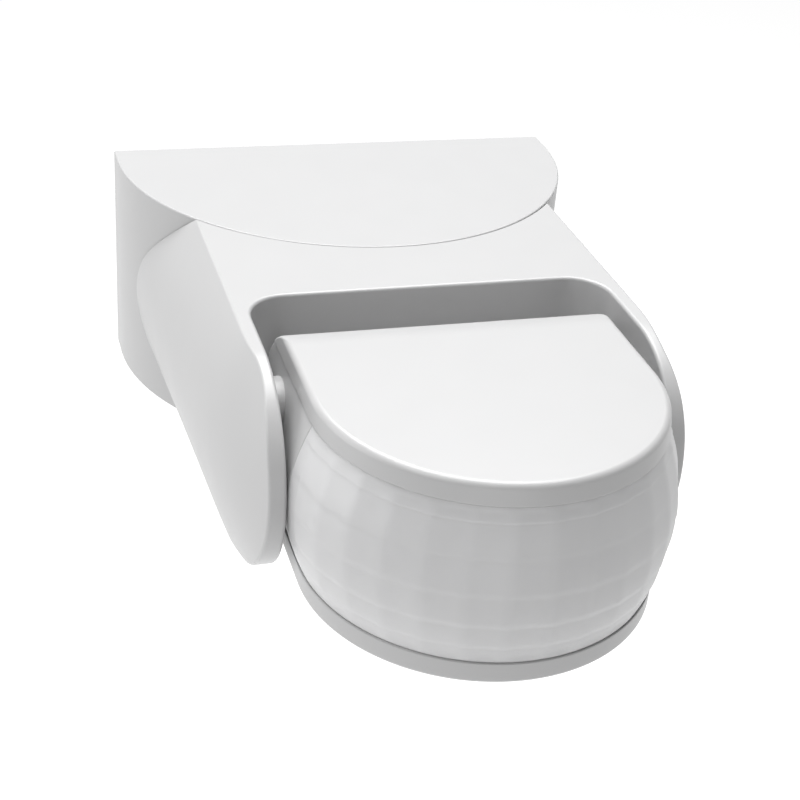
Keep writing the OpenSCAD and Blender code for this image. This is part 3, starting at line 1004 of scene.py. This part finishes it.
def set_camera():
    azimuth, elevation, roll = (math.radians(a) for a in (-18.6138, 30.4574, 4.9689))
    back = Vector((
        math.sin(azimuth) * math.cos(elevation),
        -math.cos(azimuth) * math.cos(elevation),
        math.sin(elevation),
    ))
    right = (-back).cross(Vector((0, 0, 1))).normalized()
    up = right.cross(-back)
    side = right * math.cos(roll) + up * math.sin(roll)
    over = up * math.cos(roll) - right * math.sin(roll)
    data = bpy.data.cameras.new("Camera")
    data.lens = 69.28
    data.sensor_width = 36.0
    data.dof.use_dof = False
    data.clip_start = 0.01
    data.clip_end = 200.0
    camera = bpy.data.objects.new("Camera", data)
    turn = Matrix((side, over, back)).transposed().to_4x4()
    camera.matrix_world = Matrix.Translation((-0.0700, -0.2590, 0.1231)) @ turn
    bpy.context.scene.collection.objects.link(camera)
    bpy.context.scene.camera = camera


def area_light(name, place, aim, size, power):
    data = bpy.data.lights.new(name, "AREA")
    data.shape = "RECTANGLE"
    data.size, data.size_y = size
    data.energy = power
    lamp = bpy.data.objects.new(name, data)
    direction = Vector(aim) - Vector(place)
    lamp.matrix_world = (
        Matrix.Translation(place) @ direction.to_track_quat("-Z", "Y").to_matrix().to_4x4()
    )
    bpy.context.scene.collection.objects.link(lamp)
    return lamp


def set_light():
    world = bpy.data.worlds.new("Studio")
    world.use_nodes = True
    tree = world.node_tree
    background = tree.nodes["Background"]
    background.inputs["Color"].default_value = (1, 1, 1, 1)
    background.inputs["Strength"].default_value = 0.06
    backdrop = tree.nodes.new("ShaderNodeBackground")
    backdrop.inputs["Color"].default_value = (1, 1, 1, 1)
    backdrop.inputs["Strength"].default_value = 0.9
    path = tree.nodes.new("ShaderNodeLightPath")
    mix = tree.nodes.new("ShaderNodeMixShader")
    link(tree, path.outputs["Is Camera Ray"], mix.inputs[0])
    link(tree, background.outputs[0], mix.inputs[1])
    link(tree, backdrop.outputs[0], mix.inputs[2])
    link(tree, mix.outputs[0], tree.nodes["World Output"].inputs["Surface"])
    bpy.context.scene.world = world
    target = (0.0, -0.05, 0.0)
    area_light("Top", (0.0, 0.22, 0.77), target, (0.75, 0.75), 15.5)
    area_light("Key", (-0.5, -0.35, 0.55), target, (0.35, 0.35), 1.1)
    area_light("Front", (-0.1, -0.75, -0.05), target, (0.5, 0.4), 0.8)
    area_light("Left", (-0.8, 0.1, 0.1), target, (0.5, 0.6), 2.0)
    view = bpy.context.scene.view_settings
    view.view_transform = "Standard"
    view.exposure = 0.0


def make_floor():
    shape = Shape()
    level = mm(cad_box[0][2]) - 330.0
    count = 24
    rows = []
    for i in range(count + 1):
        rows.append([
            (lerp(-60000, 60000, j / count), lerp(-60000, 60000, i / count), level)
            for j in range(count + 1)
        ])
    shape.grid(rows)
    floor = to_object(shape, "Floor")
    material, tree, shader = node_material("Floor_White")
    tone = noise(tree, 3.0)
    colours = ramp(tree, tone.outputs["Fac"], (0.3, 0.3, 0.3), (0.31, 0.31, 0.31))
    link(tree, colours.outputs["Color"], shader.inputs["Base Color"])
    shader.inputs["Roughness"].default_value = 0.9
    shader.inputs["Emission Color"].default_value = (1, 1, 1, 1)
    shader.inputs["Emission Strength"].default_value = 0.92
    floor.data.materials.append(material)


def dress_nodes():
    """Every CAD node that stays gets the procedural material of its record slot."""
    for part in frame["record"]["subparts"]:
        mesh = frame["nodes"][part["node"]].data
        mesh.materials.clear()
        mesh.materials.append(MATERIALS[part["material_slot"]])


set_camera()
set_light()
make_floor()
white = MATERIALS["white_plastic"]
make_base(white)
make_arm(white)
make_cap(white)
make_housing(white)
make_foot(white)
make_lens(MATERIALS["lens_plastic"])
dress_nodes()
